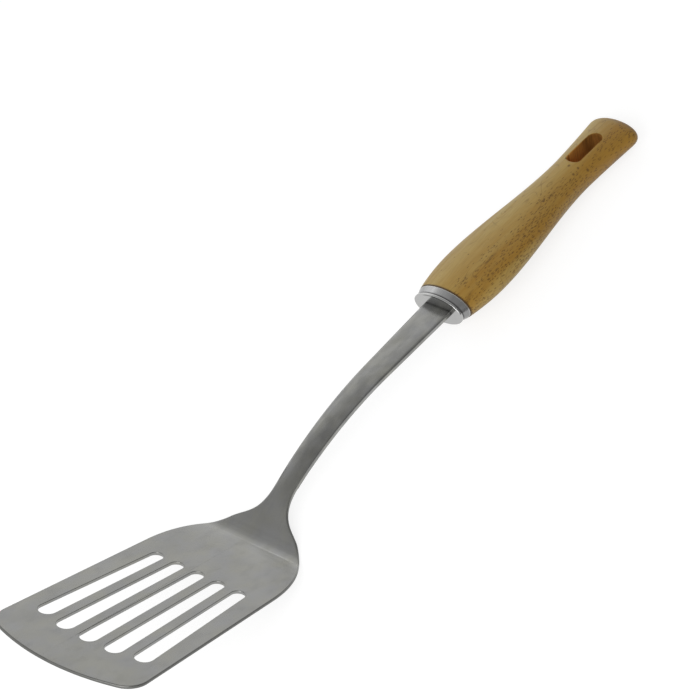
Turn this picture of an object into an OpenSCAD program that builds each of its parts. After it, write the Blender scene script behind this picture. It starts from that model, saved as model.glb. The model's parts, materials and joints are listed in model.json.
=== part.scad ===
// Slotted kitchen spatula: one stamped steel strip that is blade, cranked
// shank and tang, a steel front plate and band, and an oval beech handle.
// Millimetres, +Z up. The spatula lies as it comes to rest on a table, on the
// heel of its blade and the end of its handle. +X runs from the blade's front
// edge to the end of the handle, and XZ is its plane of symmetry.

/* [Blade] */
// Length from the middle of the front edge to the bend line
blade_l = 122.5; // [100:0.5:145]
// Width across the front corners
blade_front_w = 78.4; // [66:0.2:90]
// Width where the shoulders start
blade_back_w = 69.8; // [60:0.1:80]
// Thickness of the steel sheet
sheet_t = 1.5; // [1:0.1:2.2]
// Radius of the bowed front edge
front_r = 100; // [80:1:200]
// Radius of the front corners
corner_r = 10; // [4:0.5:14]
// Distance from the shoulders' start to the bend line
shoulder_l = 26.4; // [20:0.2:31]

/* [Slots] */
// Distance from the blade's front edge to the middle slot's front end
slot_front = 20.1; // [14:0.1:40]
// Distance from the slots' back ends to the bend line
slot_back = 31.2; // [26:0.2:40]
// How much the two outer slots stop short at the front
slot_step_outer = 3.6; // [0:0.1:8]
// How much the two inner slots stop short at the front
slot_step_inner = 0.6; // [0:0.1:4]
// Width of a slot at its front end
slot_front_w = 8.3; // [6:0.1:9.5]
// Width of a slot at its back end
slot_back_w = 6.4; // [4.6:0.1:8]
// Spacing of the slots at their front ends
slot_front_pitch = 13.1; // [11:0.1:14]
// Spacing of the slots at their back ends
slot_back_pitch = 11.2; // [9:0.1:13]

/* [Shank] */
// Radius of the heel bend, on the upper face
heel_r = 10; // [6:0.5:20]
// Angle that the heel bend turns up
heel_deg = 50.6; // [40:0.2:60]
// Length of the straight stretch between the heel bend and the next bend
neck_straight_l = 9.4; // [4:0.2:16]
// Radius of the bend above the neck
neck_r = 76; // [50:1:120]
// Angle that the bend above the neck turns down
neck_deg = 11.7; // [5:0.1:20]
// Radius of the long bend along the shank
shank_r = 187; // [140:1:260]
// Slope of the shank's straight end and of the handle
rise_deg = 19.6; // [14:0.1:26]
// Length of the straight end up to the front plate
shank_straight_l = 44.7; // [30:0.1:60]
// Width at the narrowest place of the neck
neck_w = 10; // [8:0.1:14]
// Width of the shank at the front plate
shank_end_w = 14.2; // [10:0.1:18]
// Width halfway down the shoulders
shoulder_mid_w = 33.1; // [24:0.1:42]
// Distance from the bend line to halfway down the shoulders
shoulder_mid_x = 8.5; // [4:0.5:12]
// Distance from the bend line to the narrowest place
neck_x = 22.5; // [18:0.5:30]

/* [Tang] */
// Length of the tang inside the handle
tang_l = 62; // [40:1:80]
// Width of the tang
tang_w = 10; // [7:0.5:13]
// Thickness of the adhesive bed around the tang
bond_t = 0.6; // [0.3:0.1:1.2]

/* [Ferrule] */
// Width of the front plate
plate_w = 26.2; // [22:0.2:32]
// Height of the front plate
plate_h = 14.6; // [12:0.2:20]
// Thickness of the front plate
plate_t = 1.2; // [0.8:0.1:2]
// Gap around the tang where it passes through the front plate
plate_gap = 0.2; // [0.1:0.1:0.5]
// Length of the band behind the front plate
band_l = 3.9; // [3:0.1:12]
// Wall of the band
band_t = 1; // [0.6:0.1:1.6]
// Width of the band at its back edge
band_w = 28; // [24:0.2:34]
// Height of the band at its back edge
band_h = 16; // [14:0.2:22]
// How far the band stands in from the front plate's edge
band_inset = 0.5; // [0.2:0.1:1]

/* [Handle] */
// Length of the handle from the front plate's face to its end
handle_l = 140.8; // [110:0.2:170]
// Width at the swell behind the band
swell_w = 33.4; // [28:0.2:40]
// Thickness at the swell
swell_h = 17.4; // [16:0.2:26]
// Distance from the front plate's face to the swell
swell_x = 28; // [18:0.5:40]
// Width at the waist
waist_w = 20.1; // [18:0.2:28]
// Thickness at the waist
waist_h = 15.9; // [12:0.1:20]
// Distance from the front plate's face to the waist
waist_x = 101; // [80:0.5:120]
// Width of the flared end
flare_w = 27.2; // [22:0.2:34]
// Thickness of the flared end
flare_h = 11.4; // [9:0.2:16]
// Length of the rounding at the end
end_round_l = 8.5; // [5:0.1:14]
// Width of the hanging slot
hang_w = 7; // [4.6:0.1:8]
// Length of the hanging slot
hang_l = 22.5; // [14:0.1:30]
// Distance from the end of the handle to the hanging slot
hang_back = 16.4; // [12:0.1:26]

/* [Hidden] */
// Overrun of every cut
over = 1;
// Sides of round solids
fine = 96;

// A point of an arc that starts at p with heading a and turns by t,
// to the left for a positive radius r and to the right for a negative one
function arc_pt(p, a, r, t) =
    p + r * [sin(a + t) - sin(a), cos(a) - cos(a + t)];
// The points of that arc after its start, n steps
function arc_pts(p, a, r, t, n) = [for (k = [1:n]) arc_pt(p, a, r, t * k / n)];
// A point of a cubic curve through four control points
function bez(a, b, c, d, u) =
    a * pow(1 - u, 3) + b * 3 * u * pow(1 - u, 2) + c * 3 * u * u * (1 - u) + d * pow(u, 3);
// The upper half of an outline, then the same half mirrored below
function mirrored(half) = concat(half, [for (k = [len(half) - 1:-1:0]) [half[k][0], -half[k][1]]]);

// Side profile of the sheet, from the bend line, x along the blade and z up.
// The heel bend has its centre above the bend line, and a straight stretch, two
// bends the other way and a straight end follow it.
shank_deg = heel_deg - neck_deg - rise_deg;
heel_low_r = heel_r + sheet_t;
neck_low_r = neck_r - sheet_t;
shank_low_r = shank_r - sheet_t;
heel_steps = 16;
bend_steps = 8;
low_start = [0, 0];
neck_straight = neck_straight_l * [cos(heel_deg), sin(heel_deg)];
low_1 = arc_pt(low_start, 0, heel_low_r, heel_deg) + neck_straight;
low_2 = arc_pt(low_1, heel_deg, -neck_low_r, -neck_deg);
low_3 = arc_pt(low_2, heel_deg - neck_deg, -shank_low_r, -shank_deg);
along = [cos(rise_deg), sin(rise_deg)];
across = [-sin(rise_deg), cos(rise_deg)];
low_end = low_3 + along * shank_straight_l;
top_start = [0, sheet_t];
top_1 = arc_pt(top_start, 0, heel_r, heel_deg) + neck_straight;
top_2 = arc_pt(top_1, heel_deg, -neck_r, -neck_deg);
low_pts = concat(
    [[-blade_l, 0], low_start],
    arc_pts(low_start, 0, heel_low_r, heel_deg, heel_steps),
    [low_1],
    arc_pts(low_1, heel_deg, -neck_low_r, -neck_deg, bend_steps),
    arc_pts(low_2, heel_deg - neck_deg, -shank_low_r, -shank_deg, bend_steps),
    [low_end]);
top_pts = concat(
    [[-blade_l, sheet_t], top_start],
    arc_pts(top_start, 0, heel_r, heel_deg, heel_steps),
    [top_1],
    arc_pts(top_1, heel_deg, -neck_r, -neck_deg, bend_steps),
    arc_pts(top_2, heel_deg - neck_deg, -shank_r, -shank_deg, bend_steps),
    [low_end + across * sheet_t]);
profile = concat(low_pts, [for (k = [len(top_pts) - 1:-1:0]) top_pts[k]]);

// Middle of the front plate's face, on the handle's axis
plate_at = low_end + across * sheet_t / 2;

// Handle sections: half width and half thickness at s from the plate's face
flare_x = handle_l - end_round_l;
end_power = 2.7;
end_flat_share = 0.12;
waist_power = 1.4;
thin_power = 1.8;
function smooth(u) = u * u * (3 - 2 * u);
// Rise from the band to the swell, steep at the band and level at the swell
function ease_out(u) = 1 - pow(1 - u, 2);
ferrule_x = plate_t + band_l;
function half_w(s) =
    s < swell_x ? (band_w + (swell_w - band_w) * ease_out((s - ferrule_x) / (swell_x - ferrule_x))) / 2
    : s < waist_x ? (swell_w + (waist_w - swell_w) * smooth((s - swell_x) / (waist_x - swell_x))) / 2
    : (waist_w + (flare_w - waist_w) * pow((s - waist_x) / (handle_l - waist_x), waist_power)) / 2;
function half_h(s) =
    s < swell_x ? (band_h + (swell_h - band_h) * ease_out((s - ferrule_x) / (swell_x - ferrule_x))) / 2
    : s < waist_x ? (swell_h + (waist_h - swell_h) * smooth((s - swell_x) / (waist_x - swell_x))) / 2
    : (waist_h + (flare_h - waist_h) * pow((s - waist_x) / (handle_l - waist_x), thin_power)) / 2;
// Shrink of a section over the rounded end
function end_share(s) =
    s <= flare_x ? 1 : pow(1 - pow((s - flare_x) / end_round_l, end_power), 1 / end_power);

// Tilt about the heel that lays the heel and the handle's underside on the
// table: the smallest slope from the heel bend to any point of the underside
heel_centre = [0, heel_low_r];
rest_steps = 60;
function under(s) = plate_at + along * s - across * half_h(s) * end_share(s);
function slope_to(p) =
    atan2((p - heel_centre)[1], (p - heel_centre)[0])
    + asin(heel_low_r / norm(p - heel_centre));
handle_places = [for (k = [0:rest_steps]) ferrule_x + (handle_l - ferrule_x) * k / rest_steps];
rest_deg = min([for (s = handle_places) slope_to(under(s))]);
// A point of the profile after the tilt
function rested(p) =
    [p[0] * cos(rest_deg) + p[1] * sin(rest_deg), p[1] * cos(rest_deg) - p[0] * sin(rest_deg)];
// The bounding box's middle along X and its floor
function over_side(s) = plate_at + along * s + across * half_h(s) * end_share(s);
reach_pts = concat(
    [rested([-blade_l, 0]), rested([-blade_l, sheet_t])],
    [for (s = handle_places) rested(under(s))],
    [for (s = handle_places) rested(over_side(s))]);
x_lo = min([for (p = reach_pts) p[0]]);
x_hi = max([for (p = reach_pts) p[0]]);
floor_z = rested(heel_centre)[1] - heel_low_r;

// Puts a solid that is drawn in the blade's frame into its resting place
module laid() {
    translate([-(x_lo + x_hi) / 2, 0, -floor_z])
        rotate([0, rest_deg, 0])
            children();
}

// Puts a solid that is drawn along +X from the front plate's face
module on_handle_axis() {
    translate([plate_at[0], 0, plate_at[1]])
        rotate([0, -rise_deg, 0])
            children();
}

// Outline of the sheet seen from above, half of it, from the front edge back.
// The front edge is an arc about a centre on the middle line, and each front
// corner is an arc that touches it and the straight side.
front_c = [-blade_l + front_r, 0];
corner_y = blade_front_w / 2 - corner_r;
corner_c = [front_c[0] - sqrt(pow(front_r - corner_r, 2) - pow(corner_y, 2)), corner_y];
side_deg = atan((blade_front_w - blade_back_w) / 2 / (-corner_c[0] - shoulder_l));
front_deg = asin(corner_y / (front_r - corner_r));
front_steps = 12;
corner_steps = 10;
shoulder_steps = 12;
front_pts = [for (k = [0:front_steps])
    front_c + front_r * [-cos(front_deg * k / front_steps), sin(front_deg * k / front_steps)]];
corner_turn_deg = 90 + side_deg - front_deg;
corner_pts = [for (k = [1:corner_steps])
    corner_c + corner_r * [-cos(front_deg + corner_turn_deg * k / corner_steps),
        sin(front_deg + corner_turn_deg * k / corner_steps)]];
shoulder_0 = [-shoulder_l, blade_back_w / 2];
shoulder_1 = [shoulder_mid_x, shoulder_mid_w / 2];
shoulder_2 = [neck_x, neck_w / 2];
shoulder_slope = 2;
shoulder_in_share = 0.6;
shoulder_out_share = 0.2;
neck_in_share = 0.5;
neck_out_share = 0.7;
shoulder_run = shoulder_mid_x + shoulder_l;
neck_run = neck_x - shoulder_mid_x;
shank_slope = (shank_end_w - neck_w) / 2 / (plate_at[0] - neck_x);
shoulder_pts = [for (k = [0:shoulder_steps]) bez(
    shoulder_0,
    shoulder_0 + shoulder_in_share * shoulder_run * [1, -tan(side_deg)],
    shoulder_1 - shoulder_out_share * shoulder_run * [1, -shoulder_slope] / norm([1, shoulder_slope]),
    shoulder_1,
    k / shoulder_steps)];
neck_pts = [for (k = [1:shoulder_steps]) bez(
    shoulder_1,
    shoulder_1 + neck_in_share * neck_run * [1, -shoulder_slope] / norm([1, shoulder_slope]),
    shoulder_2 - neck_out_share * neck_run * [1, shank_slope],
    shoulder_2,
    k / shoulder_steps)];
outline_half = concat(
    front_pts,
    corner_pts,
    shoulder_pts,
    neck_pts,
    [[plate_at[0] + over, shank_end_w / 2 + over * shank_slope]]);

// A slot that narrows to the back, with round ends, along a fanned line
slot_places = [-2, -1, 0, 1, 2];
slot_steps = 14;
// Points of a round end about c, from one angle to another
function end_pts(c, r, from, to) =
    [for (k = [0:slot_steps]) let (a = from + (to - from) * k / slot_steps) c + r * [cos(a), sin(a)]];
module slot_cut(k) {
    step = abs(k) == 2 ? slot_step_outer : abs(k) == 1 ? slot_step_inner : 0;
    x0 = -blade_l + slot_front + step + slot_front_w / 2;
    x1 = -slot_back - slot_back_w / 2;
    y0 = k * slot_front_pitch;
    y1 = k * slot_back_pitch;
    run = norm([x1 - x0, y1 - y0]);
    lean = asin((slot_front_w - slot_back_w) / 2 / run);
    turn = atan2(y1 - y0, x1 - x0);
    translate([x0, y0, -over])
        rotate([0, 0, turn])
            linear_extrude(sheet_t + 2 * over)
                polygon(concat(
                    end_pts([0, 0], slot_front_w / 2, 90 - lean, 270 + lean),
                    end_pts([run, 0], slot_back_w / 2, lean - 90, 90 - lean)));
}

// A solid skinned over oval sections, each given as [x, half width, half height]
module skinned(rings, n) {
    m = len(rings);
    points = concat(
        [for (r = rings) for (k = [0:n - 1]) [r[0], r[1] * cos(360 * k / n), r[2] * sin(360 * k / n)]],
        [[rings[0][0], 0, 0], [rings[m - 1][0], 0, 0]]);
    sides = [for (j = [0:m - 2]) for (k = [0:n - 1]) each [
        [j * n + k, (j + 1) * n + (k + 1) % n, j * n + (k + 1) % n],
        [j * n + k, (j + 1) * n + k, (j + 1) * n + (k + 1) % n]]];
    front = [for (k = [0:n - 1]) [m * n, k, (k + 1) % n]];
    back = [for (k = [0:n - 1]) [m * n + 1, (m - 1) * n + (k + 1) % n, (m - 1) * n + k]];
    polyhedron(points = points, faces = concat(sides, front, back));
}

// A box along +X, centred on the axis
module bar(x0, x1, w, h) {
    translate([x0, -w / 2, -h / 2])
        cube([x1 - x0, w, h]);
}

// The steel strip: blade with its slots, cranked shank, and tang
module blade() color("silver") laid() {
    difference() {
        intersection() {
            translate([0, blade_front_w / 2 + over, 0])
                rotate([90, 0, 0])
                    linear_extrude(blade_front_w + 2 * over)
                        polygon(profile);
            translate([0, 0, -over])
                linear_extrude(plate_at[1] + plate_h)
                    polygon(mirrored(outline_half));
        }
        for (k = slot_places)
            slot_cut(k);
    }
    on_handle_axis()
        bar(-over, ferrule_x + tang_l, tang_w, sheet_t);
}

// The oval front plate with its rounded rim, on which the shank's end seats
plate_round = plate_t / 3;
module end_plate() color("gainsboro") laid() on_handle_axis() {
    difference() {
        skinned([
            [0, plate_w / 2 - plate_round, plate_h / 2 - plate_round],
            [plate_round, plate_w / 2, plate_h / 2],
            [plate_t, plate_w / 2, plate_h / 2]], fine);
        bar(-over, plate_t + over, tang_w + 2 * plate_gap, sheet_t + 2 * plate_gap);
    }
}

// The band behind the front plate, a tapered oval tube over the tenon
band_front_w = plate_w - 2 * band_inset;
band_front_h = plate_h - 2 * band_inset;
module ferrule() color("lightgray") laid() on_handle_axis() {
    difference() {
        skinned([
            [plate_t, band_front_w / 2, band_front_h / 2],
            [ferrule_x, band_w / 2, band_h / 2]], fine);
        skinned([
            [plate_t - over, band_front_w / 2 - band_t, band_front_h / 2 - band_t],
            [plate_t, band_front_w / 2 - band_t, band_front_h / 2 - band_t],
            [ferrule_x, band_w / 2 - band_t, band_h / 2 - band_t],
            [ferrule_x + over, band_w / 2 - band_t, band_h / 2 - band_t]], fine);
    }
}

// The beech handle: tenon in the band, swell, waist and flared round end,
// with the bore for the tang and the hanging slot
body_steps = 30;
round_steps = 8;
body_rings = concat(
    [for (k = [0:body_steps])
        let (s = ferrule_x + (flare_x - ferrule_x) * k / body_steps)
        [s, half_w(s), half_h(s)]],
    [for (k = [1:round_steps - 1])
        let (s = flare_x + end_round_l * sin(90 * k / round_steps))
        [s, half_w(s) * end_share(s), half_h(s) * end_share(s)]],
    [[handle_l, half_w(handle_l) * end_flat_share, half_h(handle_l) * end_flat_share]]);
tenon_gap = 0.1;
tenon_in = band_t + tenon_gap;
handle_sides = 48;
module handle() color("burlywood") laid() on_handle_axis() {
    difference() {
        union() {
            skinned(body_rings, handle_sides);
            skinned([
                [plate_t, band_front_w / 2 - tenon_in, band_front_h / 2 - tenon_in],
                [ferrule_x, band_w / 2 - tenon_in, band_h / 2 - tenon_in]], handle_sides);
        }
        bar(plate_t - over, ferrule_x + tang_l + bond_t, tang_w + 2 * bond_t, sheet_t + 2 * bond_t);
        translate([handle_l - hang_back - hang_l + hang_w / 2, 0, -swell_h])
            linear_extrude(2 * swell_h) {
                circle(d = hang_w, $fn = fine);
                translate([0, -hang_w / 2])
                    square([hang_l - hang_w, hang_w]);
                translate([hang_l - hang_w, 0])
                    circle(d = hang_w, $fn = fine);
            }
    }
}

// The adhesive bed between the tang and its bore
module bond() color("tan") laid() on_handle_axis() {
    difference() {
        bar(plate_t, ferrule_x + tang_l + bond_t, tang_w + 2 * bond_t, sheet_t + 2 * bond_t);
        bar(plate_t - over, ferrule_x + tang_l, tang_w, sheet_t);
    }
}

blade();
end_plate();
ferrule();
handle();
bond();
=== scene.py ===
"""Slotted spatula: a satin steel strip that is blade, shank and tang, a polished
front plate, a steel band and an oiled beech handle, dressed over the CAD frame.

Sizes are metres. The strip is drawn flat, with its bend line across x = 0, and
is bent up along its side line. Plate, band and handle are drawn along +X from
the front plate's face. Both are then laid down as the CAD part rests."""

import json
import math

import bpy
from mathutils import Matrix, Vector


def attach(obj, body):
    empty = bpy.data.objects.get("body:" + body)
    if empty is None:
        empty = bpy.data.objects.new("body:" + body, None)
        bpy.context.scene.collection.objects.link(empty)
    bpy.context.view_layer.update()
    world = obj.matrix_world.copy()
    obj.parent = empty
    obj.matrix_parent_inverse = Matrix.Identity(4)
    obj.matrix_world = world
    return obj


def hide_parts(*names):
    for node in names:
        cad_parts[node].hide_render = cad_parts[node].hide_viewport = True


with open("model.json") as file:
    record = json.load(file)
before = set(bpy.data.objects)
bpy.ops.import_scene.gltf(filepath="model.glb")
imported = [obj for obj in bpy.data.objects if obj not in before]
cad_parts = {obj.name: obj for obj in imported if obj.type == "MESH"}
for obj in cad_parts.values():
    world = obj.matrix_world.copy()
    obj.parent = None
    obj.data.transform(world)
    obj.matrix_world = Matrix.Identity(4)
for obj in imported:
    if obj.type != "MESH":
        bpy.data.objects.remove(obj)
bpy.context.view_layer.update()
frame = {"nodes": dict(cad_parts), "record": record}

bl_info = {
    "name": "Slotted spatula",
    "version": (1, 0, 0),
    "blender": (4, 5, 0),
    "location": "View3D > Sidebar > Spatula",
    "description": "Builds the pieces, finishes and stage of a slotted kitchen spatula",
    "category": "Add Mesh",
}

MM = 0.001
MERGE = 0.02 * MM  # cuts closer than this to a point use the point
SAME = 0.001 * MM  # points closer than this are one point
NEAR = 0.07 * MM  # play around a cut line
EDGE_FADE = 12 * MM  # length over which the blade's dull edges turn into the shank's


def number(default, name, description="", **settings):
    """A number that a user can change."""
    return bpy.props.FloatProperty(name=name, description=description, default=default, **settings)


def size(millimetres, name, description=""):
    """A length that a user can change."""
    kind = {"unit": "LENGTH", "subtype": "DISTANCE", "precision": 5}
    return number(millimetres * MM, name, description, min=0.0, **kind)


def turn(degrees, name, description):
    """An angle that a user can change."""
    return number(math.radians(degrees), name, description, unit="ROTATION", subtype="ANGLE")


def share(default, name, description):
    """A plain number from 0 to 1 that a user can change."""
    return number(default, name, description, min=0.0, max=1.0)


def colour(default, name, description=""):
    """A linear colour that a user can change."""
    return bpy.props.FloatVectorProperty(
        name=name, description=description, default=default, size=3, min=0.0, max=1.0, subtype="COLOR"
    )


class StripSizes(bpy.types.PropertyGroup):
    """The steel strip: blade, shank and tang."""

    sheet_t: size(1.5, "Sheet thickness")
    blade_l: size(122.5, "Blade length", "From the middle of the front edge to the bend line")
    blade_front_w: size(78.4, "Width across the front corners")
    blade_back_w: size(69.8, "Width where the shoulders start")
    front_r: size(100, "Radius of the bowed front edge")
    corner_r: size(10, "Radius of the front corners")
    shoulder_l: size(26.4, "Shoulder length", "From the shoulders' start to the bend line")
    shoulder_mid_w: size(33.1, "Shoulder width", "Width halfway down the shoulders")
    shoulder_mid_x: size(8.5, "Shoulder middle", "From the bend line to halfway down the shoulders")
    neck_w: size(10, "Neck width")
    neck_x: size(22.5, "Neck place", "From the bend line to the narrowest place")
    shank_end_w: size(14.2, "Shank end width", "Width of the shank at the front plate")
    shank_straight_l: size(44.7, "Straight end of the shank")
    heel_r: size(10, "Heel radius", "Radius of the heel bend on the upper face")
    neck_straight_l: size(9.4, "Neck straight", "Straight stretch between the heel bend and the neck bend")
    neck_r: size(76, "Radius of the bend above the neck")
    shank_r: size(187, "Radius of the long bend of the shank")
    heel_turn: turn(50.6, "Heel angle", "Angle that the heel bend turns up")
    neck_turn: turn(11.7, "Neck angle", "Angle that the neck bend turns down")
    rise: turn(19.6, "Rise", "Slope of the shank's straight end and of the handle")
    tang_l: size(67.1, "Tang length", "Length of the tang behind the front plate's face")
    tang_w: size(10, "Tang width")
    slot_front: size(20.1, "Slot front", "From the front edge to the middle slot")
    slot_back: size(31.2, "Slot back", "From the slots' back ends to the bend line")
    slot_step_outer: size(3.6, "Outer slots' step", "How much the outer slots stop short at the front")
    slot_step_inner: size(0.6, "Inner slots' step", "How much the inner slots stop short at the front")
    slot_front_w: size(8.3, "Slot width at the front")
    slot_back_w: size(6.4, "Slot width at the back")
    slot_front_pitch: size(13.1, "Slot spacing at the front")
    slot_back_pitch: size(11.2, "Slot spacing at the back")
    rim_r: size(0.5, "Rounding of the blade's outer edges")
    slot_rim_r: size(0.25, "Rounding of the slots' edges")
    shank_rim_r: size(0.25, "Rounding of the shank's edges")
    crown_h: size(0.7, "Crown shoulder height", "Height of the shoulders along the shank's edges")
    crown_bow: size(0.45, "Crown bow", "Height of the shank's upper face between the shoulders")
    crown_end_share: share(0.3, "Crown end share", "Share of the bow that is left at the front plate")
    crown_share: share(0.17, "Crown shoulder share", "Share of the half width that a shoulder takes")
    crown_before: size(10, "Crown start", "How far before the narrowest place the crown starts")
    crown_run: size(26, "Crown run", "Length over which the crown rises")


class EndCapSizes(bpy.types.PropertyGroup):
    """The front plate and the band behind it."""

    plate_w: size(26.2, "Plate width")
    plate_h: size(14.6, "Plate height")
    plate_t: size(1.2, "Plate thickness")
    plate_edge_r: size(0.3, "Plate rim rounding")
    band_l: size(3.9, "Band length")
    band_t: size(1.0, "Band wall")
    band_inset: size(0.5, "Band inset", "How far the band stands in from the plate's edge")
    band_w: size(28, "Band width at its back")
    band_h: size(16, "Band height at its back")
    band_edge_r: size(0.25, "Band rim rounding")


class HandleSizes(bpy.types.PropertyGroup):
    """The beech handle."""

    handle_l: size(140.8, "Handle length", "From the front plate's face to the handle's end")
    swell_w: size(33.4, "Swell width")
    swell_h: size(17.4, "Swell thickness")
    swell_x: size(28, "Swell place", "From the front plate's face to the swell")
    waist_w: size(20.1, "Waist width")
    waist_h: size(15.9, "Waist thickness")
    waist_x: size(101, "Waist place", "From the front plate's face to the waist")
    flare_w: size(27.2, "Width of the flared end")
    flare_h: size(11.4, "Thickness of the flared end")
    end_round_l: size(8.5, "Length of the end's rounding")
    joint_r: size(0.35, "Joint rounding", "Rounding of the wood where it meets the band")
    hang_w: size(7, "Hanging slot width")
    hang_l: size(22.5, "Hanging slot length")
    hang_back: size(16.4, "Hanging slot place", "From the handle's end to the hanging slot")
    hang_edge_r: size(0.6, "Hanging slot rim rounding")


class FinishColours(bpy.types.PropertyGroup):
    """The colours of the finishes."""

    satin_steel: colour((0.308, 0.308, 0.294), "Ground sheet steel")
    polished_steel: colour((0.45, 0.45, 0.445), "Polished front plate")
    band_steel: colour((0.40, 0.40, 0.40), "Fine satin band")
    beech_light: colour((0.426, 0.311, 0.097), "Light beech", "Paler growth of the wood")
    beech_dark: colour((0.310, 0.165, 0.022), "Dark beech", "Darker growth of the wood")
    beech_fleck: colour((0.090, 0.043, 0.008), "Beech flecks", "Short dark flecks along the grain")
    beech_bore: colour((0.30, 0.13, 0.028), "Beech in the hanging slot")
    adhesive: colour((0.6, 0.5, 0.3), "Adhesive", "Set bed around the tang")
    table: colour((0.8, 0.8, 0.8), "Pale floor")


class StageSettings(bpy.types.PropertyGroup):
    """Camera and light."""

    camera_place: bpy.props.FloatVectorProperty(
        name="Camera", description="Place of the camera", default=(-0.63220, -0.73802, 0.97854), unit="LENGTH"
    )
    camera_turn: bpy.props.FloatVectorProperty(
        name="Camera turn",
        description="Turn of the camera",
        default=(math.radians(44.8018), math.radians(12.0210), math.radians(-52.4417)),
        unit="ROTATION",
        subtype="EULER",
    )
    lens: number(164.571, "Lens", "Focal length in millimetres")
    room_light: number(1.0, "Room light", "Strength of the room's light")
    softbox_light: number(15.0, "Softbox", "Strength of the large softbox in watts")


def strip_place():
    """Takes the strip's own frame, with the bend line of its upper face at zero, to its resting place."""
    face = next(m for m in frame["record"]["mounts"] if m["name"] == "lifting_face")
    tilt = math.atan2(face["axis"][0], face["axis"][2])
    ahead = Matrix.Translation((16 * MM, 0, 0))
    return Matrix.Translation(face["pos_m"]) @ Matrix.Rotation(tilt, 4, "Y") @ ahead


def side_line(s):
    """The strip's upper face seen from the side: runs as (length, turn), up being positive."""
    shank_turn = s.heel_turn - s.neck_turn - s.rise
    return [
        (s.heel_r * s.heel_turn, s.heel_turn),
        (s.neck_straight_l, 0.0),
        (s.neck_r * s.neck_turn, -s.neck_turn),
        (s.shank_r * shank_turn, -shank_turn),
        (s.shank_straight_l, 0.0),
    ]


def side_point(s, length):
    """Place (x, z) and slope of the upper face at a length past the bend line."""
    x = z = slope = 0.0
    if length <= 0:
        return length, 0.0, 0.0
    runs = side_line(s)
    for k, (run, bend) in enumerate(runs):
        part = length if k == len(runs) - 1 else min(length, run)
        here = bend * part / run
        if bend:
            r = run / bend
            x += r * (math.sin(slope + here) - math.sin(slope))
            z += r * (math.cos(slope) - math.cos(slope + here))
        else:
            x += part * math.cos(slope)
            z += part * math.sin(slope)
        slope += here
        length -= part
        if length <= 0:
            break
    return x, z, slope


def shank_length(s):
    """Length of the upper face from the bend line to the front plate."""
    return sum(run for run, bend in side_line(s))


def length_at(s, x):
    """Length along the upper face at which it has come x past the bend line."""
    low, high = 0.0, shank_length(s)
    if x <= 0:
        return x
    for _ in range(40):
        mid = (low + high) / 2
        if side_point(s, mid)[0] < x:
            low = mid
        else:
            high = mid
    return low


def handle_place(s):
    """Takes a piece drawn along +X from the front plate's face to its resting place."""
    x, z, slope = side_point(s, shank_length(s))
    half = s.sheet_t / 2
    middle = (x + half * math.sin(slope), 0, z - half * math.cos(slope))
    return strip_place() @ Matrix.Translation(middle) @ Matrix.Rotation(-slope, 4, "Y")


def cubic(a, b, c, d, u):
    """A point of a cubic curve through four control points."""
    return a * (1 - u) ** 3 + b * 3 * u * (1 - u) ** 2 + c * 3 * u * u * (1 - u) + d * u**3


def smooth(u):
    """A share from 0 to 1, level at both ends."""
    return u * u * (3 - 2 * u)


def held(u):
    """A number held between 0 and 1."""
    return min(1.0, max(0.0, u))


def front_points(s):
    """Half of the blade's front edge and its corner."""
    centre = -s.blade_l + s.front_r
    corner_y = s.blade_front_w / 2 - s.corner_r
    corner_x = centre - math.sqrt((s.front_r - s.corner_r) ** 2 - corner_y**2)
    side = math.atan((s.blade_front_w - s.blade_back_w) / 2 / (-corner_x - s.shoulder_l))
    front = math.asin(corner_y / (s.front_r - s.corner_r))
    points = []
    steps = 24
    for k in range(steps + 1):
        a = front * k / steps
        points.append((centre - s.front_r * math.cos(a), s.front_r * math.sin(a)))
    steps = 16
    for k in range(1, steps + 1):
        a = front + (math.pi / 2 + side - front) * k / steps
        points.append((corner_x - s.corner_r * math.cos(a), corner_y + s.corner_r * math.sin(a)))
    return points, side


def shoulder_points(s, side):
    """The shoulder from the blade's side down to the neck and on to the front plate, seen from above."""
    slope = 2.0
    in_share, out_share, neck_in_share, neck_out_share = 0.6, 0.2, 0.5, 0.7
    start = Vector((-s.shoulder_l, s.blade_back_w / 2))
    middle = Vector((s.shoulder_mid_x, s.shoulder_mid_w / 2))
    neck = Vector((s.neck_x, s.neck_w / 2))
    end_x = side_point(s, shank_length(s))[0]
    widening = (s.shank_end_w - s.neck_w) / 2 / (end_x - s.neck_x)
    down = Vector((1, -slope)).normalized()
    steps = 28
    points = []
    run = middle.x - start.x
    first = start + in_share * run * Vector((1, -math.tan(side)))
    last = middle - out_share * run * down
    for k in range(steps + 1):
        points.append(tuple(cubic(start, first, last, middle, k / steps)))
    run = neck.x - middle.x
    first = middle + neck_in_share * run * down
    last = neck - neck_out_share * run * Vector((1, widening))
    for k in range(1, steps + 1):
        points.append(tuple(cubic(middle, first, last, neck, k / steps)))
    for k in range(1, steps + 1):
        x = neck.x + (end_x - neck.x) * k / steps
        points.append((x, neck.y + widening * (x - neck.x)))
    return points


def blank_outline(s):
    """Half of the flat blank's outline, from the middle of the front edge to the end of the tang."""
    points, side = front_points(s)
    points += shoulder_points(s, side)
    points = [(length_at(s, x), y) for x, y in points]
    end = shank_length(s)
    # Points in line along the straight shank would leave a face without area, which no rounding can follow.
    points = [p for p in points if p[0] <= end - s.shank_straight_l]
    points.append((end, s.shank_end_w / 2))
    points += [(end, s.tang_w / 2), (end + s.tang_l, s.tang_w / 2)]
    return points


def half_width(points, length):
    """Half width of the blank at a length past the bend line."""
    for (a, wide), (b, narrow) in zip(points, points[1:]):
        if a <= length <= b and b > a:
            return wide + (narrow - wide) * (length - a) / (b - a)
    return points[-1][1]


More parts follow.
